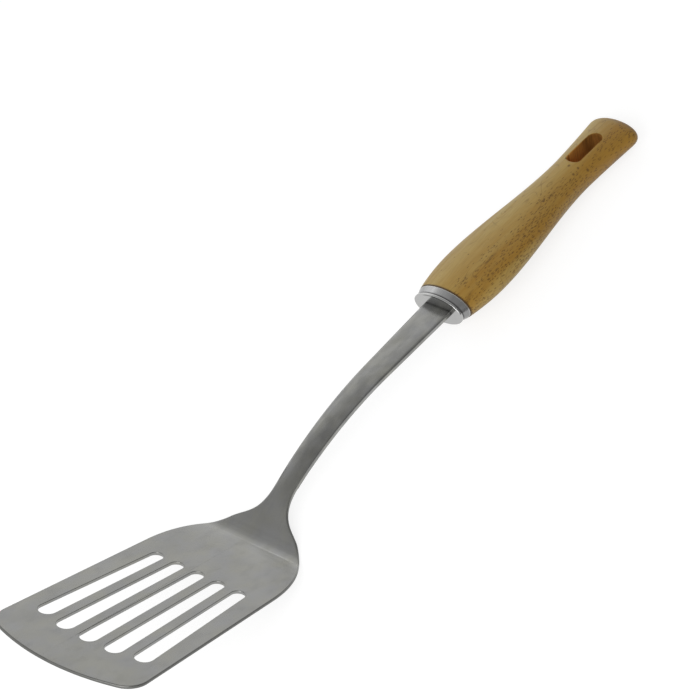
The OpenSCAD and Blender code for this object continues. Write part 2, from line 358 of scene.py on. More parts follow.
def slot_outline(s, k):
    """The outline of slot k, with round ends, narrowing to the back along a fanned line."""
    step = (0.0, s.slot_step_inner, s.slot_step_outer)[abs(k)]
    start = Vector((-s.blade_l + s.slot_front + step + s.slot_front_w / 2, k * s.slot_front_pitch))
    end = Vector((-s.slot_back - s.slot_back_w / 2, k * s.slot_back_pitch))
    run = end - start
    lean = math.asin((s.slot_front_w - s.slot_back_w) / 2 / run.length)
    heading = math.atan2(run.y, run.x)
    points = []
    steps = 24
    for centre, r, first, last in (
        (start, s.slot_front_w / 2, math.pi / 2 - lean, 1.5 * math.pi + lean),
        (end, s.slot_back_w / 2, lean - math.pi / 2, math.pi / 2 - lean),
    ):
        for j in range(steps + 1):
            a = heading + first + (last - first) * j / steps
            points.append((centre.x + r * math.cos(a), centre.y + r * math.sin(a)))
    return points


def deselect_all():
    """Leaves edit mode and selects nothing."""
    if bpy.context.object and bpy.context.object.mode != "OBJECT":
        bpy.ops.object.mode_set(mode="OBJECT")
    bpy.ops.object.select_all(action="DESELECT")


def work_on(piece):
    """Makes one piece the only selected and active one."""
    deselect_all()
    piece.select_set(True)
    bpy.context.view_layer.objects.active = piece


def edit(piece):
    """Opens a piece in edit mode, by faces, with nothing selected."""
    work_on(piece)
    bpy.ops.object.mode_set(mode="EDIT")
    bpy.ops.mesh.select_mode(type="FACE")
    bpy.ops.mesh.select_all(action="DESELECT")


def pick(piece, wanted):
    """Selects the faces of the piece in edit mode for which wanted(centre, normal) is true."""
    bpy.ops.object.mode_set(mode="OBJECT")
    mesh = piece.data
    for part in (mesh.vertices, mesh.edges, mesh.polygons):
        part.foreach_set("select", [False] * len(part))
    for f in mesh.polygons:
        f.select = wanted(f.center, f.normal)
    bpy.ops.object.mode_set(mode="EDIT")


def apply_modifier(piece, kind, **settings):
    """Adds one modifier with its settings and applies it."""
    work_on(piece)
    bpy.ops.object.modifier_add(type=kind)
    modifier = piece.modifiers[-1]
    for key, value in settings.items():
        setattr(modifier, key, value)
    bpy.ops.object.modifier_apply(modifier=modifier.name)


def round_edges(piece, sharper_than, radius_at, segments=3):
    """Rounds each edge that is sharper than an angle, by the radius that its middle calls for."""
    mesh = piece.data
    beside = {}
    for f in mesh.polygons:
        for key in f.edge_keys:
            beside.setdefault(key, []).append(f.normal.copy())
    radii = []
    for e in mesh.edges:
        normals = beside.get(tuple(sorted(e.vertices)), [])
        sharp = len(normals) == 2 and normals[0].angle(normals[1], 0.0) > sharper_than
        a, b = (mesh.vertices[k].co for k in e.vertices)
        radii.append(radius_at((a + b) / 2) if sharp else 0.0)
    widest = max(radii)
    weight = mesh.attributes.new("bevel_weight_edge", "FLOAT", "EDGE")
    weight.data.foreach_set("value", [r / widest for r in radii])
    rounding = {"width": widest, "segments": segments, "limit_method": "WEIGHT"}
    apply_modifier(piece, "BEVEL", **rounding, use_clamp_overlap=False, loop_slide=False)


def shade(piece, angle, weight):
    """Smooth shading, with broad faces kept flat."""
    work_on(piece)
    bpy.ops.object.shade_smooth_by_angle(angle=angle)
    apply_modifier(piece, "WEIGHTED_NORMAL", keep_sharp=True, weight=weight)


def put(piece, place):
    """Moves a piece to its place and writes the place into its mesh."""
    work_on(piece)
    piece.matrix_world = place
    bpy.context.view_layer.update()
    bpy.ops.object.transform_apply()


def finish_piece(piece, name, material, slot_name, *nodes):
    """Names a piece, gives it its finish and ties it to the frame."""
    piece.name = name
    piece.data.name = name
    piece.data.materials.clear()
    piece.data.materials.append(material)
    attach(piece, "root")
    if nodes:
        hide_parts(*nodes)


def grey(level):
    """A grey with its alpha."""
    return (level, level, level, 1.0)


def scaled(c, by=1.0):
    """A colour with its alpha, made lighter or darker."""
    return (c[0] * by, c[1] * by, c[2] * by, 1.0)


class Finish:
    """The shader nodes of one material, or of the room."""

    def __init__(self, owner, output="OutputMaterial"):
        self.owner = owner
        owner.use_nodes = True
        self.tree = owner.node_tree
        self.tree.nodes.clear()
        self.output = self.node(output)

    def feed(self, socket, value):
        """Gives an input a value or another node's output."""
        if isinstance(value, bpy.types.NodeSocket):
            self.tree.links.new(value, socket)
        else:
            socket.default_value = value

    def node(self, kind, inputs=None, **settings):
        """A node with its settings and its inputs."""
        made = self.tree.nodes.new("ShaderNode" + kind)
        for key, value in settings.items():
            setattr(made, key, value)
        for key, value in (inputs or {}).items():
            self.feed(made.inputs[key], value)
        return made

    def end(self, shader):
        """Ends in one shader, and hands over the material or room."""
        self.feed(self.output.inputs["Surface"], shader.outputs[0])
        return self.owner

    def coat(self, inputs):
        """Ends in one common surface shader."""
        return self.end(self.node("BsdfPrincipled", inputs))

    def metal(self, tone, rough, height, strength):
        """Ends in bare metal with a fine relief."""
        relief = self.relief(height, strength, 0.03 * MM)
        return self.coat({"Base Color": tone, "Roughness": rough, "Metallic": 1.0, "Normal": relief})

    def relief(self, height, strength, depth):
        """The normals of a fine relief."""
        inputs = {"Height": height, "Strength": strength, "Distance": depth}
        return self.node("Bump", inputs).outputs["Normal"]

    def math(self, operation, a, b=0.0, c=0.0):
        """One sum of two or three values."""
        return self.node("Math", {0: a, 1: b, 2: c}, operation=operation).outputs["Value"]

    def times(self, a, b):
        """One value times another."""
        return self.math("MULTIPLY", a, b)

    def spread(self, value, low, high, to_low=0.0, to_high=1.0):
        """Maps a value from one range to another, held at the ends."""
        ranges = {"Value": value, "From Min": low, "From Max": high, "To Min": to_low, "To Max": to_high}
        return self.node("MapRange", ranges, clamp=True).outputs["Result"]

    def part(self, vector, axis):
        """One axis of a vector."""
        return self.node("SeparateXYZ", {0: vector}).outputs[axis]

    def length(self, vector):
        """The length of a vector."""
        return self.node("VectorMath", {0: vector}, operation="LENGTH").outputs["Value"]

    def place(self):
        """A point's place in the object's own coordinates."""
        return self.node("TexCoord").outputs["Object"]

    def lined_up(self, laid):
        """A point's place as the piece was drawn, before it was laid down: X is the handle's line."""
        back = laid.inverted()
        return self.stretched(self.place(), (1, 1, 1), turned=back.to_euler(), moved=back.to_translation())

    def stretched(self, vector, scale, turned=(0, 0, 0), moved=(0, 0, 0)):
        """A vector scaled by axis, so that a pattern on it is drawn out."""
        inputs = {"Vector": vector, "Location": moved, "Rotation": turned, "Scale": scale}
        return self.node("Mapping", inputs).outputs["Vector"]

    def noise(self, vector, scale, detail=2.0, roughness=0.5, moved=(0, 0, 0)):
        """Noise on a vector. A scale for each axis draws it out."""
        if isinstance(scale, tuple):
            vector = self.stretched(vector, scale, moved=moved)
            scale = 1.0
        inputs = {"Vector": vector, "Scale": scale, "Detail": detail, "Roughness": roughness}
        return self.node("TexNoise", inputs).outputs["Fac"]

    def mixed(self, factor, a, b, blend="MIX"):
        """Two colours mixed by a factor."""
        made = self.node("Mix", data_type="RGBA", blend_type=blend)
        for key, value in (("Factor_Float", factor), ("A_Color", a), ("B_Color", b)):
            self.feed(next(i for i in made.inputs if i.identifier == key), value)
        return next(o for o in made.outputs if o.identifier == "Result_Color")

    def toned(self, colour, tone):
        """A colour multiplied by a tone."""
        return self.mixed(1.0, colour, tone, "MULTIPLY")

    def graded(self, value, levels):
        """A grey that eases from level to level, each (position, level)."""
        ramp = self.node("ValToRGB", {0: value})
        ramp.color_ramp.interpolation = "EASE"
        stops = ramp.color_ramp.elements
        while len(stops) < len(levels):
            stops.new(0.5)
        for stop, (position, level) in zip(stops, levels):
            stop.position = position
            stop.color = grey(level)
        return ramp.outputs["Color"]

    def following(self, along, tones):
        """A tone of 0 to 2 that follows a length, from (millimetres, tone) pairs."""
        first, last = tones[0][0], tones[-1][0]
        stops = [((x - first) / (last - first), tone / 2) for x, tone in tones]
        return self.times(self.graded(self.spread(along, first * MM, last * MM), stops), 2.0)


# Painted light on the strip's upper face by length past the bend line: a painted highlight at the heel,
# painted shade at the plate.
BEND_PAINTED_LIGHT = (
    ((-118.0, 0.90), (-70.0, 0.96), (-14.0, 0.97), (-7.3, 1.03), (-4.3, 1.08), (-2.3, 1.10))
    + ((-0.8, 1.16), (0.2, 1.16), (0.7, 1.08), (1.2, 0.96), (1.8, 0.92), (3.2, 0.94), (3.7, 0.98))
    + ((4.7, 1.14), (6.7, 1.18), (7.7, 1.09), (8.9, 0.98), (12.0, 0.94), (38.0, 0.90), (62.0, 1.0))
    + ((74.0, 1.04), (98.0, 1.0), (110.0, 1.02), (122.0, 1.07), (131.0, 1.11), (136.0, 1.07))
    + ((138.0, 0.98), (139.3, 0.84), (140.4, 0.74), (140.9, 0.62), (141.3, 0.35))
)
# How much brighter the right side of the heel is painted, by length past the bend line: painted light in
# place of the neck's dark reflection.
RIGHT_PAINTED_LIGHT = (
    ((-60.0, 0.0), (-14.0, 0.05), (-7.3, 0.12), (-3.3, 0.20), (-1.3, 0.34), (0.2, 0.42))
    + ((0.7, 0.35), (1.2, 0.18), (1.7, 0.07), (2.7, 0.10), (3.5, 0.15), (4.4, 0.0))
)
# Painted light on the band by place across the handle, from its right to its left.
BAND_PAINTED_LIGHT = (
    ((-13.0, 0.70), (-11.0, 0.84), (-9.0, 0.88), (-7.0, 0.86), (-4.7, 1.14), (-2.4, 1.32))
    + ((0.5, 1.46), (3.5, 1.42), (5.5, 1.04), (8.0, 0.9), (13.0, 0.9))
)
# Small dark knots on the handle's upper face: place along, place across and radius, in millimetres.
PIN_KNOTS = (
    ((73.9, -5.1, 0.8), (38.4, -4.0, 0.6), (99.0, -1.5, 0.9), (96.1, -5.8, 0.8), (100.5, -5.2, 0.7))
    + ((103.4, -8.3, 0.8), (28.3, 2.8, 0.5), (60.0, 6.0, 0.5), (52.0, -10.5, 0.6), (118.0, 7.5, 0.6))
)
# Light of the room by height, from straight down to straight up.
ROOM_LEVELS = (
    ((0.0, 0.80), (0.16, 0.82), (0.27, 1.0), (0.50, 1.0), (0.58, 0.90))
    + ((0.64, 0.78), (0.70, 0.62), (0.75, 0.52), (0.82, 0.44), (1.0, 0.42))
)


def bend_painted_light(f, place):
    """The painted light that follows the strip, painted brighter again on the heel's right."""
    along = f.part(place, "X")
    right = f.times(f.following(along, RIGHT_PAINTED_LIGHT), f.spread(f.part(place, "Y"), 2 * MM, -16 * MM))
    tone = f.following(along, BEND_PAINTED_LIGHT)
    return f.math("MULTIPLY_ADD", tone, right, tone)


def satin_sheet_steel(colours):
    """Ground sheet steel: soft mottling, fine lines along the strip, duller edges darkened by painted shade,
    handling marks and painted light along the bend.
    """
    f = Finish(bpy.data.materials.new("satin_sheet_steel"))
    steel = colours.satin_steel
    place = f.node("UVMap", uv_map="flat_blank").outputs["UV"]
    edge = f.node("Attribute", attribute_name="dull_shaded_edge").outputs["Fac"]
    cloud = f.noise(place, (42, 60, 1), 3.0)
    smudge = f.noise(place, (110.0, 190.0, 1.0), moved=(5, 2, 0))
    tint = f.noise(place, (85.0, 120.0, 1.0), moved=(1, 8, 0))
    blots = f.noise(place, (120.0, 210.0, 1.0), moved=(7, 4, 0))
    speck = f.noise(place, 1500.0, roughness=0.6)
    lines = f.noise(place, (60, 4200, 1), roughness=0.6)
    long_lines = f.noise(place, (9.0, 1300.0, 1.0), moved=(3, 1, 0))
    tone = f.mixed(f.spread(cloud, 0.3, 0.7), scaled(steel, 0.94), scaled(steel, 1.06))
    tone = f.mixed(f.spread(smudge, 0.52, 0.76, 0.0, 0.5), tone, scaled(steel, 0.82))
    on_shank = f.spread(f.part(place, "X"), 24 * MM, 44 * MM)
    blots = f.mixed(f.spread(blots, 0.36, 0.64), grey(0.89), grey(1.09))
    tone = f.mixed(on_shank, tone, f.toned(tone, blots))
    cool = (0.985, 0.99, 1.025, 1.0)
    warm = (1.015, 1.01, 0.975, 1.0)
    tone = f.toned(tone, f.mixed(f.spread(tint, 0.35, 0.65), cool, warm))
    tone = f.mixed(f.spread(long_lines, 0.56, 0.8, 0.0, 0.1), tone, scaled(steel, 1.16))
    tone = f.mixed(f.spread(speck, 0.58, 0.8, 0.0, 0.12), tone, scaled(steel, 0.75))
    # Painted light and shade along the strip, brighter on the heel's right.
    tone = f.toned(tone, bend_painted_light(f, place))
    # Edges darkened to half tone: painted shade for the dark reflections in the walls and rims. The added
    # roughness below is the real duller edge.
    tone = f.mixed(edge, tone, scaled(steel, 0.5))
    streaks = f.spread(long_lines, 0.3, 0.7, -0.01, 0.01)
    rough = f.math("ADD", f.spread(smudge, 0.3, 0.7, 0.22, 0.26), streaks)
    rough = f.math("MULTIPLY_ADD", edge, 0.22, rough)
    return f.metal(tone, rough, f.math("MULTIPLY_ADD", long_lines, 0.7, lines), 0.02)


def polished_plate_steel(colours, c, laid):
    """Polished steel with the faintest haze and wipe marks, and a painted dark reflection in a line inside
    its upper rim.
    """
    f = Finish(bpy.data.materials.new("polished_plate_steel"))
    steel = colours.polished_steel
    lined = f.lined_up(laid)
    reach = f.length(f.stretched(lined, (0.0, 2 / c.plate_w, 2 / c.plate_h)))
    inside = f.times(f.spread(reach, 0.86, 0.92), f.spread(reach, 0.95, 0.97, 1.0, 0.0))
    left = f.spread(f.part(lined, "Y"), 8 * MM, 6 * MM)
    upper = f.times(f.spread(f.part(lined, "Z"), 3 * MM, 6 * MM), left)
    haze = f.noise(f.place(), 260.0, 4.0, 0.6)
    tone = f.mixed(haze, scaled(steel, 0.94), scaled(steel, 1.05))
    # Painted dark reflection in a line inside the upper rim.
    tone = f.mixed(f.times(inside, upper), tone, scaled(steel, 0.4))
    wipes = f.noise(f.place(), (4000, 300, 900))
    return f.metal(tone, f.spread(haze, 0.3, 0.7, 0.12, 0.19), wipes, 0.05)


def satin_band_steel(colours, laid, front_x, back_x):
    """Fine satin steel, turned round the band, with painted light across it, painted shade in the groove at
    its front and a painted highlight at its back rim.
    """
    f = Finish(bpy.data.materials.new("satin_band_steel"))
    steel = colours.band_steel
    lined = f.lined_up(laid)
    along = f.part(lined, "X")
    cloud = f.noise(f.place(), 180.0, 3.0, 0.6)
    rings = f.noise(lined, (6000, 120, 120))
    tone = f.mixed(cloud, scaled(steel, 0.9), scaled(steel, 1.08))
    # Painted light across the band, from its right to its left.
    tone = f.toned(tone, f.following(f.part(lined, "Y"), BAND_PAINTED_LIGHT))
    # Painted shade in the groove behind the plate's rim.
    groove = f.spread(along, front_x + 0.5 * MM, front_x + 1.0 * MM, 0.85, 0.0)
    tone = f.mixed(groove, tone, scaled(steel, 0.2))
    # Painted highlight along the back rim.
    back_rim_highlight = f.spread(along, back_x - 0.4 * MM, back_x - 0.15 * MM)
    tone = f.mixed(back_rim_highlight, tone, scaled(steel, 1.7))
    return f.metal(tone, f.spread(cloud, 0.3, 0.7, 0.22, 0.3), rings, 0.12)


def pin_knots(f, wood):
    """1 at the pin knots, and 0 elsewhere."""
    dark = 0.0
    for x, y, r in PIN_KNOTS:
        near = f.stretched(wood, (1, 1.4, 0.02), moved=(-x * MM, -1.4 * y * MM, 0.0))
        spot = f.spread(f.length(near), 0.5 * r * MM, 1.2 * r * MM, 1.0, 0.0)
        dark = f.math("MAXIMUM", spot, dark)
    return dark


def slot_wall(f, wood, h):
    """1 on the wall of the hanging slot, and 0 on the handle's outside."""
    reach = (h.hang_l - h.hang_w) / 2
    middle = h.handle_l - h.hang_back - h.hang_l / 2
    along = f.math("ABSOLUTE", f.math("SUBTRACT", f.part(wood, "X"), middle))
    past = f.math("MAXIMUM", f.math("SUBTRACT", along, reach), 0.0)
    squares = [f.math("POWER", run, 2.0) for run in (past, f.part(wood, "Y"))]
    off = f.math("SQRT", f.math("ADD", *squares))
    return f.spread(off, h.hang_w / 2 + 0.1 * MM, h.hang_w / 2 + 0.5 * MM, 1.0, 0.0)


def bore_tone_and_light(f, wood, h, colours):
    """The hanging slot's wall: striped, with painted light making it paler down in the slot and painted shade
    making it darker towards the handle's end.
    """
    low = h.handle_l - h.hang_back - h.hang_l
    # Painted light from below, paler down in the slot, and painted shade towards the handle's end.
    depth = f.spread(f.part(wood, "Z"), 6 * MM, -4 * MM, 1.2, 2.4)
    shade_to_end = f.spread(f.part(wood, "X"), low + 0.25 * h.hang_l, low + 0.95 * h.hang_l, 1.15, 0.42)
    stripes = f.spread(f.noise(wood, (1500, 300, 60)), 0.35, 0.65, 0.7, 1.3)
    inputs = {0: colours.beech_bore[:], "Scale": f.times(f.times(depth, shade_to_end), stripes)}
    return f.node("VectorMath", inputs, operation="SCALE").outputs["Vector"]


def flecks(f, wood, scale, limit):
    """Short dark flecks, one in each cell of a drawn out pattern whose chance is under the limit."""
    inputs = {"Vector": f.stretched(wood, scale), "Scale": 1.0, "Randomness": 1.0}
    cells = f.node("TexVoronoi", inputs).outputs
    core = f.spread(cells["Distance"], 0.16, 0.42, 1.0, 0.0)
    chance = f.node("SeparateColor", {"Color": cells["Color"]}).outputs["Red"]
    return f.times(core, f.math("LESS_THAN", chance, limit))


def oiled_beech(colours, h, laid, joint_x):
    """Oiled beech: soft growth bands, short dark flecks along the grain, wavy lines and pin knots, with
    painted light and shade across the handle.
    """
    f = Finish(bpy.data.materials.new("oiled_beech"))
    dark = scaled(colours.beech_fleck)
    wood = f.lined_up(laid)
    along = f.part(wood, "X")
    side = f.part(wood, "Y")
    drift = f.noise(wood, (12, 70, 70))
    bands = f.noise(wood, (22, 420, 420), 3.0, 0.55)
    fine = f.noise(wood, (150, 2800, 2800), roughness=0.6)
    growth = f.math("ADD", f.spread(drift, 0.3, 0.7, 0.0, 0.45), f.spread(bands, 0.3, 0.7, 0.0, 0.3))
    # Painted light and shade: lighter towards the handle's left and darker towards its right. The next lines
    # also make it lighter at its very right edge and darker towards its end on the right side.
    growth = f.math("ADD", growth, f.spread(side, -13 * MM, 10 * MM, 0.5, -0.2))
    growth = f.math("SUBTRACT", growth, f.spread(side, -13.2 * MM, -15.5 * MM, 0.0, 0.5))
    end = f.times(f.spread(along, 100 * MM, 130 * MM), f.spread(side, 0.0, -8 * MM, 0.0, 0.45))
    growth = f.math("ADD", growth, end)
    base = f.mixed(growth, scaled(colours.beech_light), scaled(colours.beech_dark))
    base = f.mixed(f.spread(fine, 0.45, 0.75, 0.0, 0.25), base, dark)

    patches = f.noise(wood, (35.0, 120.0, 120.0), moved=(2, 5, 1))
    on_right = f.spread(side, -6.5 * MM, -0.5 * MM, 0.85, 0.02)
    limit = f.times(f.spread(patches, 0.38, 0.6, 0.15, 1.0), on_right)
    dashes = flecks(f, wood, (330, 2100, 2100), limit)
    dots = flecks(f, wood, (520, 1500, 1500), f.times(limit, 0.45))
    fleck = f.math("MAXIMUM", dashes, dots)
    base = f.mixed(f.times(fleck, 0.9), base, dark)

    swirl = f.noise(wood, (45.0, 110.0, 60.0), 1.0, 0.4, moved=(1, 7, 3))
    wave = f.math("PINGPONG", f.times(swirl, 9.0), 0.5)
    where = f.noise(wood, (40.0, 150.0, 60.0), 1.0, moved=(9, 2, 4))
    curl = f.times(f.spread(wave, 0.02, 0.09, 1.0, 0.0), f.spread(where, 0.46, 0.56, 0.0, 0.38))
    base = f.mixed(curl, base, dark)
    base = f.mixed(f.times(pin_knots(f, wood), 0.75), base, dark)
    joint = f.spread(along, joint_x + 0.5 * MM, joint_x + 1.2 * MM, 0.92, 0.0)
    base = f.mixed(joint, base, scaled(colours.beech_fleck, 0.4))
    bore = slot_wall(f, wood, h)
    base = f.mixed(bore, base, bore_tone_and_light(f, wood, h, colours))
    rough = f.math("MULTIPLY_ADD", bore, 0.4, f.spread(bands, 0.3, 0.7, 0.40, 0.52))
    gloss = f.spread(bore, 0.0, 1.0, 0.35, 0.05)
    relief = f.relief(f.math("SUBTRACT", fine, fleck), 0.3, 0.06 * MM)
    return f.coat({"Base Color": base, "Roughness": rough, "Specular IOR Level": gloss, "Normal": relief})


def set_adhesive(colours):
    """The dull set adhesive around the tang."""
    f = Finish(bpy.data.materials.new("set_adhesive"))
    cloud = f.noise(f.place(), 300.0, 3.0)
    tone = f.mixed(cloud, scaled(colours.adhesive, 0.85), scaled(colours.adhesive, 1.1))
    return f.coat({"Base Color": tone, "Roughness": 0.6})


def flat_blank(s, half):
    """The flat blank with its slots, as one sheet of faces."""
    deselect_all()
    bpy.ops.curve.primitive_bezier_curve_add()
    curve = bpy.context.object.data
    curve.dimensions = "2D"
    curve.fill_mode = "BOTH"
    curve.splines.clear()
    outer = half + [(x, -y) for x, y in reversed(half[1:])]
    for points in [outer] + [slot_outline(s, k) for k in range(-2, 3)]:
        spline = curve.splines.new("POLY")
        spline.points.add(len(points) - 1)
        spline.points.foreach_set("co", [c for x, y in points for c in (x, y, 0.0, 1.0)])
        spline.use_cyclic_u = True
    bpy.ops.object.convert(target="MESH")
    piece = bpy.context.object
    edit(piece)
    bpy.ops.mesh.select_all(action="SELECT")
    bpy.ops.mesh.remove_doubles(threshold=SAME)
    bpy.ops.mesh.normals_make_consistent(inside=False)
    deselect_all()
    if sum(f.normal.z * f.area for f in piece.data.polygons) < 0:
        edit(piece)
        bpy.ops.mesh.select_all(action="SELECT")
        bpy.ops.mesh.flip_normals()
        deselect_all()
    return piece


def cut_across(piece, s):
    """Cuts the blank across, closely at the heel, so that it can bend."""
    edit(piece)
    cuts = [0.0]
    steps = (0.5 * MM, 3.2 * MM, 2.6 * MM, 3.3 * MM, 6 * MM)
    for (run, bend), step in zip(side_line(s), steps):
        count = max(1, round(run / step))
        first = cuts[-1]
        cuts += [first + run * (k + 1) / count for k in range(count)]
    inside = 0.1 * MM
    for cut in cuts + [cuts[-1] + inside, crown_start(s)]:
        bpy.ops.mesh.select_all(action="SELECT")
        bpy.ops.mesh.bisect(plane_co=(cut, 0, 0), plane_no=(1, 0, 0), threshold=MERGE)


def crown_start(s):
    """Length past the bend line at which the shank's crown starts."""
    return length_at(s, s.neck_x - s.crown_before)


def shank_half(s, half, x):
    """Half width of the shank, which its end keeps where the tang starts."""
    return s.shank_end_w / 2 if x > shank_length(s) - NEAR else half_width(half, x)


def cut_along(piece, s, half):
    """Cuts the shank along, in shares of its width, closely at its two shoulders."""
    start = crown_start(s)
    end = shank_length(s)
    even = s.shank_end_w / 2

    def widen(to_even):
        """Brings the shank to one even width, or back from it."""
        for v in piece.data.vertices:
            if start - NEAR < v.co.x < end + NEAR:
                by = even / shank_half(s, half, v.co.x)
                v.co.y *= by if to_even else 1 / by

    steps = 5
    flat = 1 - s.crown_share
    shares = [flat + s.crown_share * math.sin(math.pi / 2 * k / steps) for k in range(steps)]
    inner = [0.0, 0.3 * flat, 0.6 * flat]
    deselect_all()
    widen(True)
    edit(piece)
    for u in inner + shares + [-u for u in inner[1:] + shares]:
        pick(piece, lambda centre, normal: start + NEAR < centre.x < end - NEAR)
        bpy.ops.mesh.bisect(plane_co=(0, u * even, 0), plane_no=(0, 1, 0), threshold=MERGE)
    bpy.ops.mesh.select_all(action="SELECT")
    bpy.ops.mesh.remove_doubles(threshold=SAME)
    deselect_all()
    widen(False)


def note_lengths(piece):
    """Keeps each point's place on the flat blank, for the pattern and for later shaping."""
    mesh = piece.data
    layer = mesh.uv_layers.new(name="flat_blank")
    flat = [mesh.vertices[loop.vertex_index].co for loop in mesh.loops]
    layer.data.foreach_set("uv", [c for co in flat for c in (co.x, co.y)])
    lengths = mesh.attributes.new("length", "FLOAT", "POINT")
    lengths.data.foreach_set("value", [v.co.x for v in mesh.vertices])


def bend_up(piece, s):
    """Bends the flat blank along the strip's side line."""
    for v in piece.data.vertices:
        x, z, slope = side_point(s, v.co.x)
        v.co = (x - v.co.z * math.sin(slope), v.co.y, z + v.co.z * math.cos(slope))


def shape_crown(piece, s, half):
    """Lifts the shank's upper face, still flat, to a crown with a shoulder along each edge."""
    start = crown_start(s)
    end = shank_length(s)
    for v in piece.data.vertices:
        if not start < v.co.x < end + NEAR or v.co.z < -s.sheet_t / 2:
            continue
        u = held(abs(v.co.y) / shank_half(s, half, v.co.x))
        past = held((u - 1 + s.crown_share) / s.crown_share)
        fall = 1 - math.sqrt(1 - past * past)
        grow = smooth(held((v.co.x - start) / s.crown_run))
        far = smooth(held((v.co.x - start - s.crown_run) / (end - start - s.crown_run)))
        bow = s.crown_bow * (1 - (1 - s.crown_end_share) * far)
        v.co.z += grow * (s.crown_h * (1 - fall) + bow * (1 - u * u))


def mark_dull_shaded_edges(piece, s, half):
    """Notes how dull and how darkened each face is: the blade's outer cut edges in full, the edges' roundings
    in part, the left rims in full. The darkening is painted shade for the dark reflections in the walls and
    rims.
    """
    mesh = piece.data
    lengths = mesh.attributes["length"].data
    start = crown_start(s)
    polished_wall, rounding, left_rim_dull_shade = 0.12, 0.45, 1.0
    steep, leaning, flat = 0.2, 0.93, 0.985
    shares = []
    for f in mesh.polygons:
        length = sum(lengths[k].value for k in f.vertices) / len(f.vertices)
        slope = side_point(s, length)[2]
        upright = abs(f.normal.dot((-math.sin(slope), 0, math.cos(slope))))
        wall = polished_wall
        if outer_edge(s, f.center):
            wall += (1 - polished_wall) * held((start + EDGE_FADE - length) / EDGE_FADE)
        dull = wall * smooth(held((leaning - upright) / 0.6))
        # The left rims are marked in full: a painted dark line along the left outline.
        left = f.center.y > 0 and outer_edge(s, f.center)
        rim = (2.6 if left else 1.3) * rim_at(s, f.center)
        on_rim = length < start or half_width(half, length) - abs(f.center.y) < rim
        if on_rim and steep < upright < flat:
            dull = max(dull, left_rim_dull_shade if left else rounding)
        shares.append(dull)
    mark = mesh.attributes.new("dull_shaded_edge", "FLOAT", "FACE")
    mark.data.foreach_set("value", shares)


def rim_at(s, co):
    """Rounding of the edge at a place on the flat blank."""
    if not outer_edge(s, co):
        return s.slot_rim_r
    thin = held((co.x - crown_start(s)) / EDGE_FADE)
    return s.rim_r + (s.shank_rim_r - s.rim_r) * thin


def outer_edge(s, co):
    """True for a place outside the field of slots."""
    field_w = 2 * s.slot_front_pitch + s.slot_front_w * 0.6
    return not (-s.blade_l + s.slot_front * 0.9 < co.x < -s.slot_back * 0.95 and abs(co.y) < field_w)


class SPATULA_OT_strip(bpy.types.Operator):
    """Add the steel strip: slotted blade, crowned shank and tang"""

    bl_idname = "spatula.add_strip"
    bl_label = "Steel strip"

    def execute(self, context):
        s = context.scene.spatula_strip
        half = blank_outline(s)
        piece = flat_blank(s, half)
        apply_modifier(piece, "SOLIDIFY", thickness=s.sheet_t, offset=-1.0)
        round_edges(piece, math.radians(60), lambda co: rim_at(s, co))
        cut_across(piece, s)
        cut_along(piece, s, half)
        note_lengths(piece)
        shape_crown(piece, s, half)
        bend_up(piece, s)
        mark_dull_shaded_edges(piece, s, half)
        shade(piece, math.radians(35), 100)
        put(piece, strip_place())
        colours = context.scene.spatula_colours
        finish_piece(piece, "steel_strip", satin_sheet_steel(colours), "sheet_steel", "blade")
        return {"FINISHED"}


CAP_SIDES = 128
HANDLE_SIDES = 96


def oval(x, half_w, half_h, sides):
    """A flat oval of points across the handle's line, to be drawn out along it."""
    deselect_all()
    bpy.ops.mesh.primitive_circle_add(
        vertices=sides, radius=1.0, fill_type="NGON", location=(x, 0, 0), rotation=(0, math.pi / 2, 0)
    )
    piece = bpy.context.object
    bpy.ops.object.transform_apply(location=False, rotation=True, scale=False)
    piece.scale = (1, half_w, half_h)
    bpy.ops.object.transform_apply()
    return piece


def draw_out(piece, sections):
    """Extrudes the selected oval from section to section, each (x, half width, half height)."""
    edit(piece)
    bpy.ops.mesh.select_all(action="SELECT")
    x0, w0, h0 = sections[0]
    for x, w, h in sections[1:]:
        bpy.ops.mesh.extrude_region_move(TRANSFORM_OT_translate={"value": (x - x0, 0, 0)})
        bpy.ops.transform.resize(value=(1, w / w0, h / h0), center_override=(x, 0, 0))
        x0, w0, h0 = x, w, h
    bpy.ops.mesh.select_all(action="SELECT")
    bpy.ops.mesh.normals_make_consistent(inside=False)
    deselect_all()


def cut_away(piece, cutter):
    """Takes one solid out of a piece."""
    apply_modifier(piece, "BOOLEAN", operation="DIFFERENCE", object=cutter, solver="EXACT")
    bpy.data.objects.remove(cutter)


class SPATULA_OT_end_plate(bpy.types.Operator):
    """Add the polished oval front plate with its rounded rim and the opening for the tang"""

    bl_idname = "spatula.add_end_plate"
    bl_label = "Front plate"

    def execute(self, context):
        c = context.scene.spatula_cap
        s = context.scene.spatula_strip
        piece = oval(0.0, c.plate_w / 2, c.plate_h / 2, CAP_SIDES)
        draw_out(piece, [(0.0, c.plate_w / 2, c.plate_h / 2), (c.plate_t, c.plate_w / 2, c.plate_h / 2)])
        gap = 0.2 * MM
        bpy.ops.mesh.primitive_cube_add(size=1, location=(c.plate_t / 2, 0, 0))
        cutter = context.object
        cutter.scale = (4 * c.plate_t, s.tang_w + 2 * gap, s.sheet_t + 2 * gap)
        cut_away(piece, cutter)
        round_edges(piece, math.radians(60), lambda co: c.plate_edge_r, 4)
        shade(piece, math.radians(35), 100)
        place = handle_place(s)
        put(piece, place)
        finish = polished_plate_steel(context.scene.spatula_colours, c, place)
        finish_piece(piece, "front_plate", finish, "polished_steel", "end_plate")
        return {"FINISHED"}


